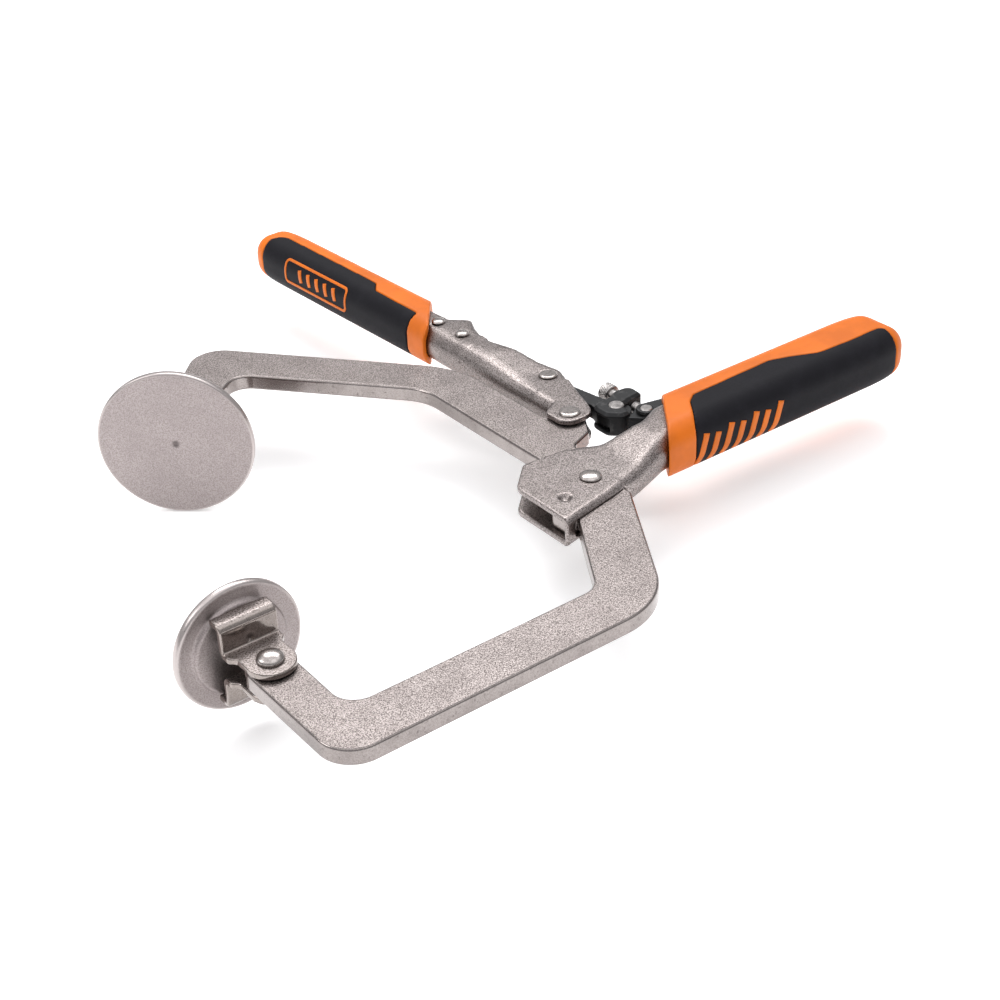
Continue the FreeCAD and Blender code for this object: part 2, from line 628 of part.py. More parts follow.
# The handle grip is drawn along its own slightly canted axis.
gripCant = 2.36
gripSeat = Placement(Vector(98.0, -7.0, 0), Rotation(Vector(0, 0, 1), gripCant))
room = channel("handleRoom", handleStations[2:-1] + [(216.0 + endGap, 6.4, -14.0, rear, 7.6)],
               roomSection)
trimOutside(room, "Side", [(50, 12.0), (220, 12.0), (220, -6.1), (100.0, -11.15), (50, -11.7)],
            [(-20, -60), (240, -60), (240, 60), (-20, 60)])
room.Placement = gripSeat.inverse()
doc.recompute()
reach = dim("handle_grip_depth") / 2
grip(
    "handle", -10.0, 141.0, -reach, reach,
    [(-40, 20), (-4.2, 20), (-4.8, 8.5, 6), (22.5, -15.0), (22.5, -17), (-40, -17)],
    [(-6.0, reach + 5), (7.6, 12.0, 3), (7.6, 4.9, 1), (38.5, 4.2, 1), (44.0, -0.2, 1),
     (116.0, -0.4, 6), (120.0, 5.0, 5), (119.0, reach + 5)],
    room, handleTurn.multiply(gripSeat))

doc.recompute()

# ---- two small rivets, one node ---------------------------------------------------------
near = rivet("nearSmallRivet", 182.2, 120.3, "small_shaft", "small_head", rear / 2, 1.3)
far = rivet("farSmallRivet", 181.4, 136.4, "small_shaft", "small_head", rear / 2, 1.3)
both = doc.addObject("Part::Compound", "handle_rivets")
both.Links = [near, far]
both.Label = "handle_rivets"
doc.recompute()

nodes = [
    "main_channel", "fixed_arm", "main_pivot_rivet", "main_grip_core", "main_grip_panel",
    "moving_arm", "handle_channel", "handle_pivot_rivet", "link_rivet", "handle_rivets",
    "handle_grip_core", "handle_grip_panel", "toggle_link", "lock_block", "block_pin", "lock_bar",
    "bar_pin", "bar_roller_pin", "bar_roller", "bar_leaf_spring", "leaf_rivet", "pressure_screw",
    "screw_knob", "screw_foot", "fixed_pad_disc", "fixed_upper_bracket", "fixed_lower_bracket",
    "fixed_pad_rivet", "moving_pad_disc", "moving_upper_bracket", "moving_lower_bracket",
    "moving_pad_rivet"]
faults = [t.Name for t in doc.Objects if "Invalid" in t.State or "Error" in t.State]
if faults:
    raise RuntimeError("failed: " + ", ".join(faults))
for node in nodes:
    shape = doc.getObject(node).Shape
    if shape.isNull() or not shape.isValid() or shape.Volume <= 0:
        raise RuntimeError("bad shape: " + node)
    shape.exportStep("parts/%s.step" % node)
    print("%-24s %8.0f mm3  solids %d" % (node, shape.Volume, len(shape.Solids)))
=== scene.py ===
import json
import math

import bmesh
import bpy
from mathutils import Matrix, Vector


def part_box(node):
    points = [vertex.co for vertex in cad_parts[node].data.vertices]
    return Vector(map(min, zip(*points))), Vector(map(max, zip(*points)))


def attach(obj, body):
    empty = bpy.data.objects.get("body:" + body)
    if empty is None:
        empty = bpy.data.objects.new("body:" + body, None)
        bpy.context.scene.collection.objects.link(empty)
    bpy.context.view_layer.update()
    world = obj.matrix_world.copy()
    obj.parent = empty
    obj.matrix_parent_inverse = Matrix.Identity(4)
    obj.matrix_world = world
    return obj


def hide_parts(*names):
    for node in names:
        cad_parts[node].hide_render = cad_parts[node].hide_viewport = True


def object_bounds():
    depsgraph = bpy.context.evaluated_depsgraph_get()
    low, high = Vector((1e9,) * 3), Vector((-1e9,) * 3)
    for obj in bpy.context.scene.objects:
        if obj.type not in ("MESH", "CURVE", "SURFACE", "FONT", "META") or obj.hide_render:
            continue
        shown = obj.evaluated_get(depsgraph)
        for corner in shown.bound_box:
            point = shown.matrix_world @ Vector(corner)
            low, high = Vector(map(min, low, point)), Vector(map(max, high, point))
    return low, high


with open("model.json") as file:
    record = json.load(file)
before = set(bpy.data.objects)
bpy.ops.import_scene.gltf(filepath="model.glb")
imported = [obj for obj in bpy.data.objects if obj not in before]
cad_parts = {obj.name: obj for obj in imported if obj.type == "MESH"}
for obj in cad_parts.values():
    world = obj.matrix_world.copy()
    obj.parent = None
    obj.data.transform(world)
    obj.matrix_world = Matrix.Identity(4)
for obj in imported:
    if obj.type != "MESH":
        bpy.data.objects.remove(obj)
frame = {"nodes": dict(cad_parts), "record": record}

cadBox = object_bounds()
mm = 0.001
nodes = frame["nodes"]
record = frame["record"]
bodyOfNode = {}
for bodyName, members in record["behaviour"]["bodies"].items():
    for member in members:
        bodyOfNode[member] = bodyName
slotOfNode = {row["node"]: row["material_slot"] for row in record["subparts"]}


class Wire:
    # one output of a shader tree; sums and products of wires add their Math nodes
    def __init__(self, finish, socket):
        self.finish = finish
        self.socket = socket

    def maths(self, operation, *terms):
        return self.finish.add("Math", {"operation": operation}, dict(enumerate(terms)))

    def __add__(self, other):
        return self.maths("ADD", self, other)

    def __radd__(self, other):
        return self.maths("ADD", other, self)

    def __sub__(self, other):
        return self.maths("SUBTRACT", self, other)

    def __rsub__(self, other):
        return self.maths("SUBTRACT", other, self)

    def __mul__(self, other):
        return self.maths("MULTIPLY", self, other)

    def __rmul__(self, other):
        return self.maths("MULTIPLY", other, self)

    def __abs__(self):
        return self.maths("ABSOLUTE", self)

    def ramp(self, low, high, start=0.0, end=1.0):
        # smooth step from start to end while the wire goes from low to high
        settings = {"interpolation_type": "SMOOTHSTEP", "clamp": True}
        sockets = {0: self, 1: low, 2: high, 3: start, 4: end}
        return self.finish.add("MapRange", settings, sockets)


shaderWords = {"colour": "Base Color", "roughness": "Roughness", "metallic": "Metallic",
               "specular": "Specular IOR Level"}


class Tree:
    # one node tree, emptied, with a single way to add a node to it
    def __init__(self, owner):
        owner.use_nodes = True
        self.tree = owner.node_tree
        self.tree.nodes.clear()

    def feed(self, socket, value):
        if isinstance(value, Wire):
            self.tree.links.new(value.socket, socket)
        else:
            socket.default_value = value

    def add(self, kind, settings=None, sockets=None, out=0):
        node = self.tree.nodes.new("ShaderNode" + kind)
        for key, value in (settings or {}).items():
            if key == "stops":  # a ramp is made with two, for the first and the last
                stops = node.color_ramp.elements
                stops[0].position, stops[0].color = value[0]
                stops[-1].position, stops[-1].color = value[-1]
                for at, colour in value[1:-1]:
                    stops.new(at).color = colour
            else:
                setattr(node, key, value)
        for key, value in (sockets or {}).items():
            self.feed(node.inputs[key], value)
        return Wire(self, node.outputs[out]) if len(node.outputs) else None


class Finish(Tree):
    # one material, its shader and where its surface lies
    def __init__(self, name):
        self.material = bpy.data.materials.new(name)
        super().__init__(self.material)
        shader = self.add("BsdfPrincipled")
        self.shader = shader.socket.node
        self.add("OutputMaterial", {}, {"Surface": shader})
        self.place = self.add("TexCoord", out="Object")
        self.facing = self.add("TexCoord", out="Normal")

    def noise(self, size, detail=2.0, rough=0.5, source=None):
        # size is the width of its blots in millimetres
        sockets = {"Vector": source or self.place, "Scale": 1 / (size * mm),
                   "Detail": detail, "Roughness": rough}
        return self.add("TexNoise", {}, sockets)

    def cells(self, size, smooth=0.4):
        sockets = {"Vector": self.place, "Scale": 1 / (size * mm), "Smoothness": smooth}
        return self.add("TexVoronoi", {"feature": "SMOOTH_F1"}, sockets)

    def blend(self, amount, low, high):
        return self.add("Mix", {"data_type": "RGBA"}, {0: amount, 6: low, 7: high}, 2)

    def stretch(self, factors):
        return self.add("VectorMath", {"operation": "MULTIPLY"}, {0: self.place, 1: factors})

    def near(self, point, radius, soft):
        # 1 around a point, fading to 0 at radius
        away = self.add("VectorMath", {"operation": "DISTANCE"}, {0: self.place, 1: point}, 1)
        return away.ramp(radius * mm, (radius - soft) * mm)

    def bump(self, height, depth, strength=1.0):
        # depth in millimetres
        sockets = {"Height": height, "Distance": depth * mm, "Strength": strength}
        self.feed(self.shader.inputs["Normal"], self.add("Bump", {}, sockets))

    def set(self, **values):
        for key, value in values.items():
            self.feed(self.shader.inputs[shaderWords[key]], value)


def tint(r, g, b):
    return (r, g, b, 1.0)


def hammeredNickel(name, look, spots=(), rim=None):
    # nickel over a hammered sheet: speckled flats, smooth pitted sides
    finish = Finish(name)
    facingUp = finish.add("SeparateXYZ", {}, {0: finish.facing}, 2)
    flat = abs(facingUp).ramp(look["flatFrom"], look["flatTo"])
    grain = finish.noise(look["grain"], 2.0, 0.6)
    pebble = finish.cells(look["pebble"])
    blot = finish.noise(look["blot"], 3.0, 0.55)
    pit = finish.noise(look["pit"], 3.0, 0.65).ramp(look["pitLow"], look["pitHigh"])
    # painted glints: sparse specks of the grain lifted to the painted highlight tint
    glint = finish.noise(look["grain"] * look["glintSize"], 1.0, 0.5)
    glint = glint.ramp(look["glintLow"], look["glintHigh"])
    speck = grain.ramp(look["speckLow"], look["speckHigh"])
    grained = finish.blend(speck, look["dark"], look["light"])
    grained = finish.blend(glint * look["glint"], grained, look["paintedHighlight"])
    colour = finish.blend(flat * look["grained"] + (1 - look["grained"]), look["plain"], grained)
    colour = finish.blend(blot.ramp(0.35, 0.75) * look["cloud"], colour, look["dark"])
    colour = finish.blend((1 - flat) * pit * look["pitted"], colour, look["pitColour"])
    for point, radius in spots:  # darker round welds and centre marks, where the skin is dented
        darkSpot = finish.near(point, radius, radius * look["spotFade"]) * look["spot"]
        colour = finish.blend(darkSpot, colour, look["spotColour"])
    rough = (flat * (look["rough"] + look["roughNoise"] * grain)
             + (1 - flat) * (look["smooth"] + look["roughNoise"] * pit))
    # painted highlight: the band round the pad face's rim is lightened, and its roughness lowered
    if rim:
        paintedHighlight = 1 - finish.near(rim[0], rim[1], look["rimFade"])
        colour = finish.blend(paintedHighlight * look["rimHighlight"], colour, look["paintedHighlight"])
        rough = rough - look["rimShine"] * paintedHighlight
    finish.set(colour=colour, metallic=1.0, roughness=rough)
    fullness = look["sideGrain"] + (1 - look["sideGrain"]) * flat
    finish.bump((grain + look["pebbled"] * pebble) * fullness, look["depth"], look["strength"])
    return finish.material


nickelLook = {
    "flatFrom": 0.80, "flatTo": 0.97, "grain": 0.45, "pebble": 0.75, "pit": 1.3, "pitted": 0.55,
    "pitLow": 0.56, "pitHigh": 0.74, "pitColour": tint(0.10, 0.085, 0.08),
    "speckLow": 0.36, "speckHigh": 0.62, "blot": 11.0, "cloud": 0.25, "grained": 0.75,
    "glint": 0.7, "glintSize": 0.8, "glintLow": 0.60, "glintHigh": 0.72,
    "spot": 0.6, "spotFade": 0.7, "spotColour": tint(0.08, 0.066, 0.062),
    # the rim keys shape the painted highlight band round a pad's rim
    "rimFade": 0.8, "rimHighlight": 0.8, "rimShine": 0.18,
    "rough": 0.32, "smooth": 0.16, "roughNoise": 0.16, "pebbled": 0.6,
    "dark": tint(0.104, 0.087, 0.083), "light": tint(0.430, 0.382, 0.366),
    # the pale tint after plain is a painted highlight, for glints and pad rims
    "plain": tint(0.36, 0.322, 0.308), "paintedHighlight": tint(0.56, 0.515, 0.495),
    "sideGrain": 0.12, "depth": 0.14, "strength": 0.8,
}
foldLook = dict(nickelLook, flatFrom=-0.6, flatTo=-0.2, rough=0.26, depth=0.11, strength=0.7)
# pads: finer, paler grain; the last tint is their painted highlight
padLook = dict(nickelLook, grain=0.5, pebble=0.6, cloud=0.3, rough=0.40, depth=0.04,
               strength=0.5, flatFrom=-1.0, flatTo=-0.5, dark=tint(0.305, 0.264, 0.257),
               light=tint(0.445, 0.392, 0.385), paintedHighlight=tint(0.54, 0.49, 0.475))
bracketLook = dict(nickelLook, grain=0.6, pebble=0.8, smooth=0.15, depth=0.10,
                   dark=tint(0.13, 0.108, 0.10), plain=tint(0.36, 0.315, 0.29))

brightLook = {"haze": 1.6, "scratch": 0.7, "bright": tint(0.50, 0.46, 0.44),
              "dull": tint(0.30, 0.27, 0.255), "depth": 0.04, "strength": 0.35}


def brightNickel(name, look):
    finish = Finish(name)
    haze = finish.noise(look["haze"], 3.0, 0.6)
    scratch = finish.noise(look["scratch"], 2.0, 0.5, finish.stretch((1.0, 0.2, 1.0)))
    colour = finish.blend(haze.ramp(0.3, 0.75), look["bright"], look["dull"])
    finish.set(colour=colour, metallic=1.0, roughness=0.13 + 0.14 * haze + 0.05 * scratch)
    finish.bump(haze + 0.4 * scratch, look["depth"], look["strength"])
    return finish.material


oxideLook = {"grain": 0.5, "rub": 4.0, "black": tint(0.008, 0.008, 0.009),
             "rubbed": tint(0.045, 0.044, 0.044), "depth": 0.07, "strength": 0.5}


def blackOxide(name, look):
    finish = Finish(name)
    grain = finish.noise(look["grain"], 3.0, 0.6)
    rub = finish.noise(look["rub"], 4.0, 0.65).ramp(0.52, 0.72)
    colour = finish.blend(rub, look["black"], look["rubbed"])
    finish.set(colour=colour, metallic=0.35, roughness=0.36 + 0.22 * grain - 0.08 * rub)
    finish.bump(grain, look["depth"], look["strength"])
    return finish.material


turnedLook = {"ring": 0.45, "haze": 2.5, "dull": tint(0.24, 0.225, 0.22),
              "bright": tint(0.50, 0.475, 0.46), "depth": 0.04, "strength": 0.4}


def turnedSteel(name, look):
    finish = Finish(name)
    ring = finish.noise(look["ring"], 2.0, 0.5, finish.stretch((0.3, 3.0, 0.3)))
    haze = finish.noise(look["haze"], 3.0, 0.6)
    colour = finish.blend(haze.ramp(0.25, 0.7), look["dull"], look["bright"])
    finish.set(colour=colour, metallic=1.0, roughness=0.20 + 0.2 * ring)
    finish.bump(ring, look["depth"], look["strength"])
    return finish.material


orangeLook = {"mottle": 14.0, "pore": 0.45, "bright": tint(0.74, 0.160, 0.003),
              "deep": tint(0.61, 0.130, 0.003), "depth": 0.035, "strength": 0.5}


def orangeGrip(name, look):
    finish = Finish(name)
    mottle = finish.noise(look["mottle"], 3.0, 0.55)
    pore = finish.noise(look["pore"], 2.0, 0.6)
    colour = finish.blend(mottle.ramp(0.3, 0.7), look["bright"], look["deep"])
    finish.set(colour=colour, roughness=0.36 + 0.10 * mottle + 0.10 * pore, specular=0.32)
    finish.bump(pore, look["depth"], look["strength"])
    return finish.material


panelLook = {"pore": 0.55, "rub": 7.0, "black": tint(0.0062, 0.0058, 0.0085),
             "rubbed": tint(0.0095, 0.0090, 0.0125), "depth": 0.05, "strength": 0.6}


def softBlackPanel(name, look):
    finish = Finish(name)
    pore = finish.noise(look["pore"], 2.0, 0.6)
    rub = finish.noise(look["rub"], 4.0, 0.65)
    colour = finish.blend(rub.ramp(0.40, 0.75), look["black"], look["rubbed"])
    finish.set(colour=colour, roughness=0.52 + 0.14 * pore + 0.05 * rub, specular=0.16)
    finish.bump(pore, look["depth"], look["strength"])
    return finish.material


floorLook = {"dust": 6.0, "low": tint(0.93, 0.93, 0.93), "high": tint(0.95, 0.95, 0.95),
             "roughness": 0.75, "glow": 0.30}


def studioFloor(name, look):
    finish = Finish(name)
    dust = finish.noise(look["dust"], 3.0, 0.6)
    finish.set(colour=finish.blend(dust, look["low"], look["high"]), roughness=look["roughness"])
    finish.shader.inputs["Emission Color"].default_value = tint(1.0, 1.0, 1.0)
    finish.shader.inputs["Emission Strength"].default_value = look["glow"]
    return finish.material


finishOfSlot = {
    "hammered_nickel": hammeredNickel("hammeredNickel", nickelLook),
    "polished_nickel": brightNickel("brightNickel", brightLook),
    "black_oxide": blackOxide("blackOxide", oxideLook),
    "bright_steel": turnedSteel("turnedSteel", turnedLook),
    "orange_plastic": orangeGrip("orangeGrip", orangeLook),
    "soft_black": softBlackPanel("softBlackPanel", panelLook),
}
print("finishes made")

for nodeName, obj in nodes.items():
    for slot in obj.material_slots:
        slot.link = "OBJECT"
        slot.material = finishOfSlot[slotOfNode[nodeName]]
print("carried nodes dressed")


def newPiece(name, mesh, node, finish, stands=True):
    # mesh becomes a shown piece that rides with a node's body
    data = bpy.data.meshes.new(name)
    bmesh.ops.recalc_face_normals(mesh, faces=mesh.faces)
    mesh.to_mesh(data)
    mesh.free()
    data.materials.append(finish)
    data.shade_smooth()
    obj = bpy.data.objects.new(name, data)
    bpy.context.collection.objects.link(obj)
    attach(obj, bodyOfNode[node])
    if stands:
        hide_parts(node)
    return obj


def rolledMesh(node, voxel, passes):
    # a node's shape with its sharp edges rolled over; voxel in millimetres
    source = bpy.data.objects.new("rollingStock", nodes[node].data.copy())
    bpy.context.collection.objects.link(source)
    remesh = source.modifiers.new("voxels", "REMESH")
    remesh.mode = "VOXEL"
    remesh.voxel_size = voxel * mm
    soften = source.modifiers.new("soften", "SMOOTH")
    soften.factor = 0.5
    soften.iterations = passes
    made = bmesh.new()
    made.from_object(source, bpy.context.evaluated_depsgraph_get())
    bpy.data.objects.remove(source)
    return made


def easeFolds(mesh, creases, reach, passes):
    # flows the skin over the lines where a folded shell changes its slope
    soft = [v for v in mesh.verts if any(abs(v.co[axis] - at * mm) < reach * mm
                                         for axis, at in creases)]
    for turn in range(passes):
        bmesh.ops.smooth_vert(mesh, verts=soft, factor=0.5, use_axis_x=True, use_axis_y=True,
                              use_axis_z=True)


def dent(mesh, point, radius, depth, push):
    # presses a round hollow into the skin at a point, along push
    for vert in mesh.verts:
        away = (vert.co - point).length / (radius * mm)
        if away < 1:
            vert.co += push * depth * mm * (1 - away * away) ** 2


def turned(profile, place, steps=96, ripple=None):
    # profile is a list of (height, radius) in millimetres, spun about place's Z
    mesh = bmesh.new()
    rings = []
    for height, radius in profile:
        if radius == 0:
            rings.append([mesh.verts.new(place @ Vector((0, 0, height * mm)))])
            continue
        ring = []
        for step in range(steps):
            angle = 2 * math.pi * step / steps
            wide = (radius + (ripple(height, radius, angle) if ripple else 0)) * mm
            spot = Vector((wide * math.cos(angle), wide * math.sin(angle), height * mm))
            ring.append(mesh.verts.new(place @ spot))
        rings.append(ring)
    for low, high in zip(rings, rings[1:]):
        for step in range(steps):
            after = (step + 1) % steps
            if len(low) == 1:
                mesh.faces.new((low[0], high[step], high[after]))
            elif len(high) == 1:
                mesh.faces.new((low[step], high[0], low[after]))
            else:
                mesh.faces.new((low[step], high[step], high[after], low[after]))
    return mesh


def along(point, axis):
    # a place with its origin at a point and its Z along an axis
    return Matrix.Translation(point) @ axis.to_track_quat("Z", "Y").to_matrix().to_4x4()


foldedNickel = hammeredNickel("foldedNickel", foldLook)
folds = {
    "main_channel": {"name": "mainChannelShell", "voxel": 0.45, "passes": 4,
                     "creases": [(0, 168.0), (0, 186.0), (0, 206.0)], "reach": 12.0, "flow": 60},
    "handle_channel": {"name": "handleChannelShell", "voxel": 0.45, "passes": 4,
                       "creases": [(1, 74.0), (1, 98.0), (1, 126.0)], "reach": 12.0, "flow": 60},
    "lock_block": {"name": "lockBlockShell", "voxel": 0.22, "passes": 3},
    "lock_bar": {"name": "lockBarStrap", "voxel": 0.3, "passes": 3},
    "toggle_link": {"name": "toggleLinkPlate", "voxel": 0.3, "passes": 3},
}
punch = {"x": 133.7, "y": -7.9, "z": 6.0, "radius": 3.2, "depth": 1.1}  # mark beside the main pivot
for node, fold in folds.items():
    mesh = rolledMesh(node, fold["voxel"], fold["passes"])
    finish = finishOfSlot[slotOfNode[node]]
    if "creases" in fold:
        finish = foldedNickel
        easeFolds(mesh, fold["creases"], fold["reach"], fold["flow"])
    if node == "main_channel":
        for up in (1, -1):
            spot = Vector((punch["x"], punch["y"], punch["z"] * up)) * mm
            dent(mesh, spot, punch["radius"], punch["depth"], Vector((0, 0, -up)))
    newPiece(fold["name"], mesh, node, finish)
print("folded steel rolled")

mountOf = {row["name"]: row for row in record["mounts"]}
pads = {
    "fixed": {"radius": 23.7, "step": 17.5, "reach": 23.4},
    "moving": {"radius": 31.0, "step": 24.0, "reach": 23.4},
}
plate = {"thick": 3.2, "shelf": 1.4, "edge": 0.9, "edgeSteps": 6, "dimple": 1.7, "sink": 0.55,
         "steps": 128, "mark": 2.2, "bright": 0.4}
# a weld is a dent with a darker patch laid over it
weld = {"out": 12.0, "up": 8.7, "radius": 2.4, "depth": 0.5, "darkSpot": 1.9}
bracket = {"voxel": 0.4, "passes": 4}
for side, padSize in pads.items():
    mount = mountOf[side + "_pad_face"]
    centre = Vector(mount["pos_m"])
    outward = Vector(mount["axis"]).normalized()
    wide = padSize["radius"]
    step = padSize["step"]
    edge = plate["edge"]
    back = -plate["thick"]
    shelf = back - plate["shelf"]
    profile = [(-plate["sink"], 0), (-plate["sink"] * 0.92, 0.5), (-plate["sink"] * 0.3, 1.1),
               (0, plate["dimple"]), (0, 4), (0, wide * 0.5), (0, wide - 3.2), (0, wide - edge)]
    for turn in range(1, plate["edgeSteps"] + 1):  # rounded rim of the clamping face
        angle = math.pi / 2 * turn / plate["edgeSteps"]
        profile.append((-edge * (1 - math.cos(angle)), wide - edge * (1 - math.sin(angle))))
    profile += [(back + 1.0, wide), (back + 0.45, wide - 0.15), (back + 0.1, wide - 0.6),
                (back, wide - 1.2), (back + 0.10, wide - 1.9), (back + 0.16, wide - 2.8),
                (back + 0.16, step + 0.9), (back + 0.05, step + 0.25), (back - 0.4, step - 0.05),
                (back - 1.0, step - 0.35), (back - 1.32, step - 0.8), (shelf, step - 1.5),
                (shelf, step * 0.5), (shelf, 0)]
    # the face gets a painted highlight round its rim and a darker centre mark
    finish = hammeredNickel(side + "PadNickel", padLook, [(centre, plate["mark"])],
                            (centre, wide - plate["bright"]))
    newPiece(side + "PadDisc", turned(profile, along(centre, outward), plate["steps"]),
             side + "_pad_disc", finish)
    pivot = centre - outward * padSize["reach"] * mm
    for level, up in (("upper", 1), ("lower", -1)):
        node = "%s_%s_bracket" % (side, level)
        mesh = rolledMesh(node, bracket["voxel"], bracket["passes"])
        spot = pivot + outward * weld["out"] * mm + Vector((0, 0, up * weld["up"] * mm))
        dent(mesh, spot, weld["radius"], weld["depth"], outward)
        finish = hammeredNickel(side + level.capitalize() + "BracketNickel", bracketLook,
                                [(spot, weld["darkSpot"])])
        newPiece(side + level.capitalize() + "Bracket", mesh, node, finish)
print("swivel pads made")

rivets = {
    "main_pivot_rivet": {"seat": 6.0, "shaft": 3.5, "flat": 0.0},
    "handle_pivot_rivet": {"seat": 6.0, "shaft": 3.0, "flat": 2.7},
    "link_rivet": {"seat": 6.0, "shaft": 2.5, "flat": 2.6},
    "fixed_pad_rivet": {"seat": 6.0, "shaft": 3.0, "flat": 0.0},
    "moving_pad_rivet": {"seat": 6.0, "shaft": 3.0, "flat": 0.0},
    "handle_rivets": {"seat": 8.0, "shaft": 1.8, "flat": 0.0, "head": 2.9},
}
rivetHead = {"brim": 0.22, "domeSteps": 10, "under": 0.12, "steps": 64}
for node, rivet in rivets.items():
    low, high = (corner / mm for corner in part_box(node))
    head = rivet.get("head", (high.x - low.x) / 2)
    top = high.z
    flat = rivet["flat"]
    seat = rivet["seat"]
    brim = seat + rivetHead["brim"] * (top - seat)
    dome = [(top, 0)] + ([(top, flat * 0.5), (top, flat)] if flat else [])
    for turn in range(1, rivetHead["domeSteps"] + 1):
        angle = math.pi / 2 * turn / rivetHead["domeSteps"]
        dome.append((brim + (top - brim) * math.cos(angle),
                     flat + (head - flat) * math.sin(angle)))
    dome += [(brim - 0.1, head), (seat, head - rivetHead["under"]), (seat, rivet["shaft"])]
    profile = dome + [(-height, radius) for height, radius in reversed(dome)]
    spots = [((low.x + high.x) / 2, (low.y + high.y) / 2)]
    if "head" in rivet:  # two rivets in opposite corners of one box
        spots = [(high.x - head, low.y + head), (low.x + head, high.y - head)]
    mesh = bmesh.new()
    for x, y in spots:
        one = turned(profile, Matrix.Translation((x * mm, y * mm, 0)), rivetHead["steps"])
        piece = bpy.data.meshes.new("rivetStock")
        one.to_mesh(piece)
        one.free()
        mesh.from_mesh(piece)
        bpy.data.meshes.remove(piece)
    name = node.replace("_", " ").title().replace(" ", "")
    newPiece(name[0].lower() + name[1:] + "Domed", mesh, node, finishOfSlot["polished_nickel"])
print("rivets made")

screw = {"x": 204.0, "low": 30.6, "high": 48.2, "radius": 2.5, "pitch": 0.8, "thread": 0.28,
         "lead": 0.8, "tip": 1.6, "rowsPerTurn": 8, "steps": 48}
knob = {"low": 48.2, "high": 53.2, "radius": 4.0, "ridges": 26, "bite": 0.32, "lean": 0.45,
        "band": 2.1, "chamfer": 0.6, "rows": 20, "knurled": 3.8, "stepsPerRidge": 8}
screwPlace = along(Vector((screw["x"] * mm, 0, 0)), Vector((0, 1, 0)))


def threadRipple(height, radius, angle):
    turn = (height / screw["pitch"] - angle / (2 * math.pi)) % 1
    fade = min(1, (height - screw["low"]) / screw["lead"])
    return -screw["thread"] * fade * (1 - abs(2 * turn - 1))


def knurlRipple(height, radius, angle):
    middle = (knob["low"] + knob["high"]) / 2
    fade = max(0, 1 - (abs(height - middle) / knob["band"]) ** 8)
    lean = knob["lean"] * (height - middle) / knob["radius"]
    left = math.sin(knob["ridges"] * (angle + lean))
    right = math.sin(knob["ridges"] * (angle - lean))
    return -knob["bite"] * fade * (1 - max(left, 0) * max(right, 0))


profile = [(screw["low"], 0), (screw["low"], screw["tip"]),
           (screw["low"] + screw["lead"], screw["radius"])]
rise = screw["low"] + 0.9
while rise < screw["high"]:
    profile.append((rise, screw["radius"]))
    rise += screw["pitch"] / screw["rowsPerTurn"]
profile += [(screw["high"], screw["radius"]), (screw["high"], 0)]
newPiece("pressureScrewThread", turned(profile, screwPlace, screw["steps"], threadRipple),
         "pressure_screw", finishOfSlot["bright_steel"])
wide = knob["radius"]
knurlStart = knob["low"] + knob["chamfer"]
profile = [(knob["low"], 0), (knob["low"], wide - 0.8), (knob["low"] + 0.25, wide - 0.3),
           (knurlStart, wide)]
for row in range(1, knob["rows"]):
    profile.append((knurlStart + knob["knurled"] * row / knob["rows"], wide))
profile += [(knob["high"] - knob["chamfer"], wide), (knob["high"] - 0.25, wide - 0.3),
            (knob["high"], wide - 0.8), (knob["high"], 2.2), (knob["high"] - 0.4, 1.9),
            (knob["high"] - 0.45, 0)]
knurls = knob["ridges"] * knob["stepsPerRidge"]
newPiece("screwKnobKnurled", turned(profile, screwPlace, knurls, knurlRipple),
         "screw_knob", finishOfSlot["bright_steel"])
print("thumbscrew made")

def gripFrame(x, y, heading):
    # where a grip's long axis starts, and the way that it points
    turn = Matrix.Rotation(math.radians(heading), 4, "Z")
    return Matrix.Translation((x * mm, y * mm, 0)) @ turn


grips = {
    "main": {"place": gripFrame(0, 9.7, 0), "side": -1, "deep": 15.5, "thick": 11.75,
             "end": 321.5},
    "handle": {"place": gripFrame(182, 138, 92.36), "side": 1, "deep": 11.75, "thick": 11.0,
               "end": 131.0},
}
gripCorner = 9.2
gripTail = {"start": 26.0, "narrow": 0.16, "shallow": 0.20}
gripSkin = {"voxel": 0.55, "passes": 5}
for side, grip in grips.items():
    for part, label in (("core", "GripCore"), ("panel", "GripPanel")):
        node = "%s_grip_%s" % (side, part)
        mesh = rolledMesh(node, gripSkin["voxel"], gripSkin["passes"])
        home = grip["place"].inverted()
        for vert in mesh.verts:  # the far end draws in like a bullet nose
            spot = home @ vert.co
            late = (spot.x - (grip["end"] - gripTail["start"]) * mm) / (gripTail["start"] * mm)
            if late > 0:
                spot.y *= 1 - gripTail["shallow"] * late ** 3
                spot.z *= 1 - gripTail["narrow"] * late ** 3
                vert.co = grip["place"] @ spot
        newPiece(side + label, mesh, node, finishOfSlot[slotOfNode[node]])


def wrapOn(grip, length, around, lift):
    # length runs down the grip, around goes over its side, lift stands off it
    flat = grip["thick"] - gripCorner
    turn = max(abs(around) - flat, 0) / gripCorner
    reach = gripCorner + lift
    up = math.copysign(min(abs(around), flat) + reach * math.sin(turn), around)
    out = grip["side"] * (grip["deep"] - gripCorner + reach * math.cos(turn))
    return grip["place"] @ (Vector((length, out, up)) * mm)


def dense(path, gap, closed=False):
    # the same path with points no further apart than gap
    points = []
    pairs = list(zip(path, path[1:] + path[:1])) if closed else list(zip(path, path[1:]))
    for start, end in pairs:
        count = max(1, math.ceil((end - start).length / gap))
        points += [start.lerp(end, i / count) for i in range(count)]
    return points if closed else points + [path[-1]]


ribSection = [(-0.5, -0.35), (-0.5, 0.12), (-0.38, 0.26),
              (0.38, 0.26), (0.5, 0.12), (0.5, -0.35)]  # share of the width, lift
ribGap = 0.7


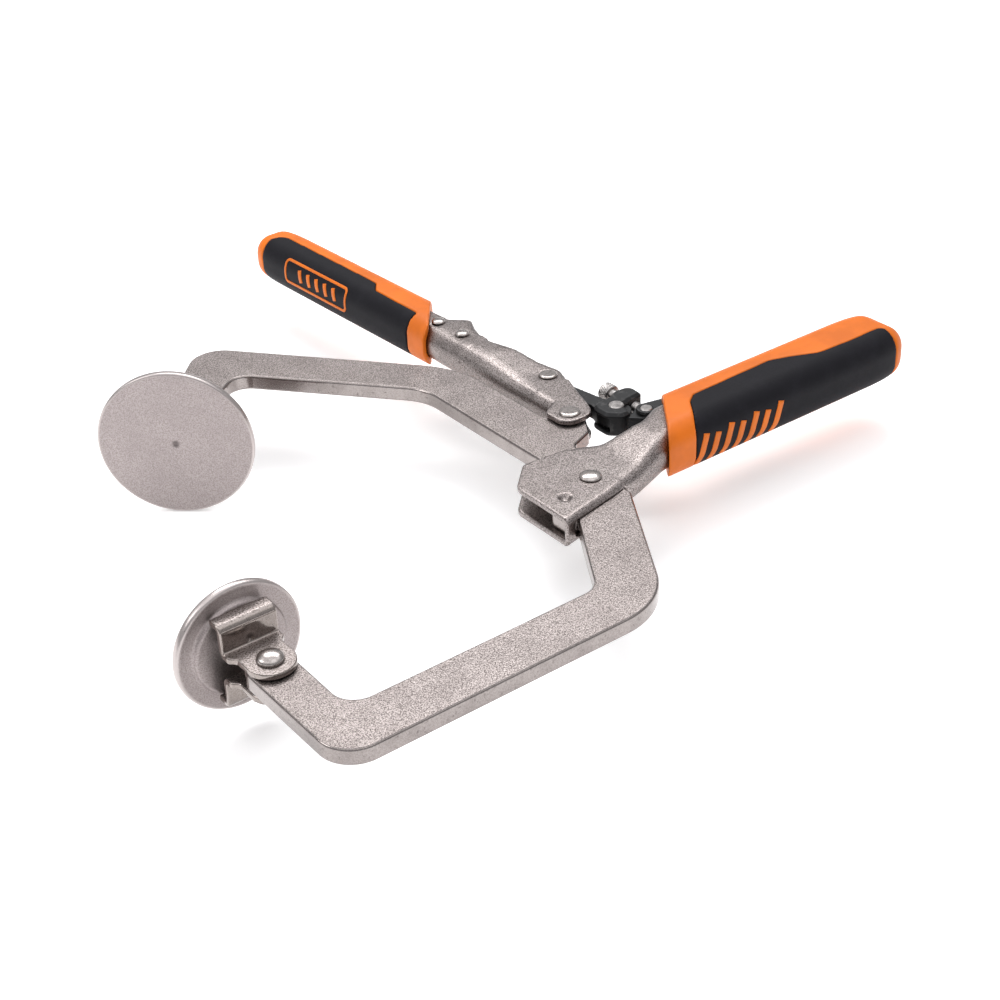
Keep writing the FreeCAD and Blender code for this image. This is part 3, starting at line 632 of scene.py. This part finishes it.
def inlayRib(mesh, grip, path, width, closed=False):
    # a raised rib with rounded shoulders, following a path over a grip's side
    rows = []
    points = dense(path, ribGap, closed)
    count = len(points)
    for i, point in enumerate(points):
        before = points[i - 1] if closed or i else point
        after = points[(i + 1) % count] if closed or i < count - 1 else point
        run = (after - before).normalized()
        across = Vector((-run.y, run.x))
        row = []
        for offset, lift in ribSection:
            spot = point + across * offset * width
            row.append(mesh.verts.new(wrapOn(grip, spot.x, spot.y, lift)))
        rows.append(row)
    for i in range(count if closed else count - 1):
        here = rows[i]
        there = rows[(i + 1) % count]
        for j in range(len(ribSection)):
            k = (j + 1) % len(ribSection)
            mesh.faces.new((here[j], here[k], there[k], there[j]))
    if not closed:
        mesh.faces.new(rows[0])
        mesh.faces.new(list(reversed(rows[-1])))


cornerSteps = 6


def roundedFrame(low, high, left, right, radius):
    # closed outline with rounded corners, across a grip's side
    path = []
    for x, y, start in ((right, high, 0), (left, high, 90), (left, low, 180), (right, low, 270)):
        cx = x - radius if x == right else x + radius
        cy = y - radius if y == high else y + radius
        for turn in range(cornerSteps + 1):
            angle = math.radians(start + 90 / cornerSteps * turn)
            path.append(Vector((cx + radius * math.cos(angle), cy + radius * math.sin(angle))))
    return path


mainRibs = {"first": 201.5, "gap": 6.6, "count": 7, "width": 3.0, "lean": 0.30,
            "top": [4.6, 3.2, 4.6, 3.2, 4.6, 3.2, 4.6], "bottom": -8.5}
ribs = bmesh.new()
for i in range(mainRibs["count"]):
    foot = Vector((mainRibs["first"] + i * mainRibs["gap"], mainRibs["bottom"]))
    rise = mainRibs["top"][i] - mainRibs["bottom"]
    head = foot + Vector((mainRibs["lean"] * rise, rise))
    inlayRib(ribs, grips["main"], [foot, head], mainRibs["width"])
newPiece("mainGripInlay", ribs, "main_grip_core", finishOfSlot["orange_plastic"], stands=False)

handleRibs = {"first": 60.5, "gap": 6.6, "count": 5, "width": 2.4, "lean": 0.3,
              "low": 0.4, "high": 6.0}
handleOutline = {"low": -2.2, "high": 8.6, "left": 52.5, "right": 99.5, "radius": 2.0}
outlineWidth = 1.3
ribs = bmesh.new()
inlayRib(ribs, grips["handle"], roundedFrame(**handleOutline), outlineWidth, closed=True)
for i in range(handleRibs["count"]):
    foot = Vector((handleRibs["first"] + i * handleRibs["gap"], handleRibs["low"]))
    rise = handleRibs["high"] - handleRibs["low"]
    head = foot + Vector((handleRibs["lean"] * rise, rise))
    inlayRib(ribs, grips["handle"], [foot, head], handleRibs["width"])
newPiece("handleGripInlay", ribs, "handle_grip_core", finishOfSlot["orange_plastic"],
         stands=False)
print("grips made")

stage = {"size": 60.0, "squares": 8, "gap": 0.3 * mm}
floorMesh = bmesh.new()
bmesh.ops.create_grid(floorMesh, x_segments=stage["squares"], y_segments=stage["squares"],
                      size=stage["size"])
floorData = bpy.data.meshes.new("floor")
floorMesh.to_mesh(floorData)
floorMesh.free()
floor = bpy.data.objects.new("floor", floorData)
floor.location.z = cadBox[0].z - stage["gap"]
floorData.materials.append(studioFloor("paleFloor", floorLook))
bpy.context.collection.objects.link(floor)

shot = {
    "eye": Vector((-220.97, -455.09, 354.56)) * mm,
    "forward": Vector((0.5022, 0.6897, -0.5216)),
    "roll": math.radians(-2.58),
    "lens": 66.6,
    "sensor": 36,
    "nearest": 0.01,
}
forward = shot["forward"].normalized()
level = forward.cross(Vector((0, 0, 1))).normalized()
upright = level.cross(forward).normalized()
rightward = level * math.cos(shot["roll"]) + upright * math.sin(shot["roll"])
upward = upright * math.cos(shot["roll"]) - level * math.sin(shot["roll"])
cameraData = bpy.data.cameras.new("camera")
cameraData.lens = shot["lens"]
cameraData.sensor_width = shot["sensor"]
cameraData.clip_start = shot["nearest"]
camera = bpy.data.objects.new("camera", cameraData)
camera.matrix_world = Matrix.Translation(shot["eye"]) @ Matrix(
    (rightward, upward, -forward)).transposed().to_4x4()
bpy.context.collection.objects.link(camera)
bpy.context.scene.camera = camera

lights = [
    {"name": "backBox", "at": (0.50, 0.62, 0.96), "wide": 1.00, "tall": 0.40, "watts": 7.0},
    {"name": "leftBox", "at": (-0.70, 0.45, 0.70), "wide": 0.50, "tall": 0.40, "watts": 2.2},
    {"name": "topBox", "at": (0.10, -0.10, 1.20), "wide": 0.90, "tall": 0.90, "watts": 1.0},
]
aim = (cadBox[0] + cadBox[1]) / 2
for light in lights:
    lamp = bpy.data.lights.new(light["name"], "AREA")
    lamp.shape = "RECTANGLE"
    lamp.size = light["wide"]
    lamp.size_y = light["tall"]
    lamp.energy = light["watts"]
    holder = bpy.data.objects.new(light["name"], lamp)
    holder.location = light["at"]
    holder.rotation_euler = (aim - holder.location).to_track_quat("-Z", "Y").to_euler()
    bpy.context.collection.objects.link(holder)

# a pale floor line, dim low walls, pale high ones and a bright ceiling: (height, level)
roomGlow = [(0.0, 0.95), (0.012, 0.95), (0.05, 0.22), (0.22, 0.50), (0.62, 0.58),
            (0.80, 1.50), (1.0, 1.0)]
roomBlue = 1.02
world = bpy.data.worlds.new("studioWorld")
sky = Tree(world)
gaze = sky.add("TexCoord", out="Generated")
height = sky.add("SeparateXYZ", {}, {0: gaze}, 2)
stops = [(at, tint(level, level, level * roomBlue)) for at, level in roomGlow]
rise = sky.add("ValToRGB", {"stops": stops}, {"Fac": height})
glow = sky.add("Background", {}, {"Color": rise})
sky.add("OutputWorld", {}, {"Surface": glow})
bpy.context.scene.world = world
bpy.context.scene.view_settings.view_transform = "Standard"
print("floor, camera and light set")
